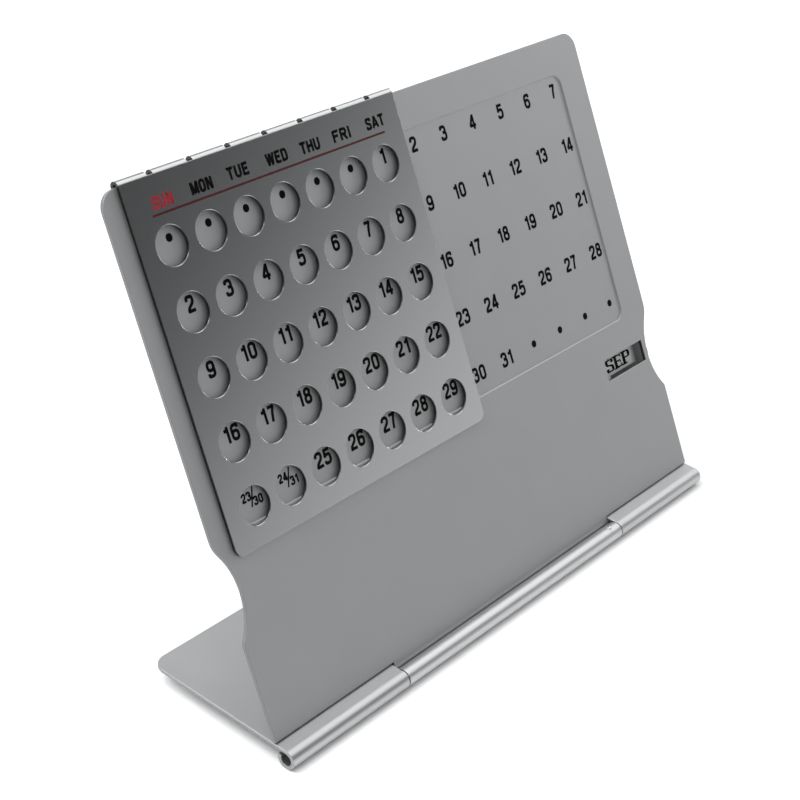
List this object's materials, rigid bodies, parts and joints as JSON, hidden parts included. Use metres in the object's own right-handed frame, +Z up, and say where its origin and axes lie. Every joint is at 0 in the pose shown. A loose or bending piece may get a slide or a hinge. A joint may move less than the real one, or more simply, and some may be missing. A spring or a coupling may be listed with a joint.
{
  "type": "flip desk calendar",
  "caption": "Perpetual desk calendar: leaning sheet-metal panel hinged to a folding base, with a sliding weekday mask and a thumb-turned month wheel.",
  "frame": {"origin": "on the desk, at the middle of the calendar's footprint", "axes": "+Z up, +X to the right of a reader who faces the calendar, +Y away from that reader"},
  "size_m": [0.15, 0.0578, 0.1034],
  "materials": {
    "panel_aluminium": "bead-blasted, clear anodised",
    "base_aluminium": "bead-blasted, clear anodised",
    "pin_steel": "drawn wire",
    "slider_aluminium": "brushed",
    "wheel_plastic": "silver-grey, printed face",
    "cover_plastic": "fine texture",
    "adhesive_film": "plain",
    "spring_steel": "plain",
    "washer_steel": "plain",
    "screw_steel": "plated",
    "foot_rubber": "plain"
  },
  "bodies": {
    "panel": {"front_panel": "panel_aluminium", "hinge_pin": "pin_steel", "month_cover": "cover_plastic", "cover_adhesive": "adhesive_film", "wheel_spring": "spring_steel", "retaining_washer": "washer_steel", "pivot_screw": "screw_steel"},
    "stand": {"base_plate": "base_aluminium", "foot_left": "foot_rubber", "foot_right": "foot_rubber"},
    "slider": {"weekday_slider": "slider_aluminium"},
    "wheel": {"month_wheel": "wheel_plastic"}
  },
  "joints": [
    {"name": "stand_fold", "type": "hinge", "parent": "panel", "child": "stand", "pos_m": [0, -0.02678, 0.0021], "axis": [-1, 0, 0], "range_deg": [0, 295.5]},
    {"name": "weekday_slide", "type": "slide", "parent": "panel", "child": "slider", "axis": [1, 0, 0], "range_m": [0, 0.0626]},
    {"name": "month_turn", "type": "hinge", "parent": "panel", "child": "wheel", "pos_m": [0.0487, -0.00656, 0.03104], "axis": [0, -0.8854, 0.4648], "continuous": true}
  ]
}
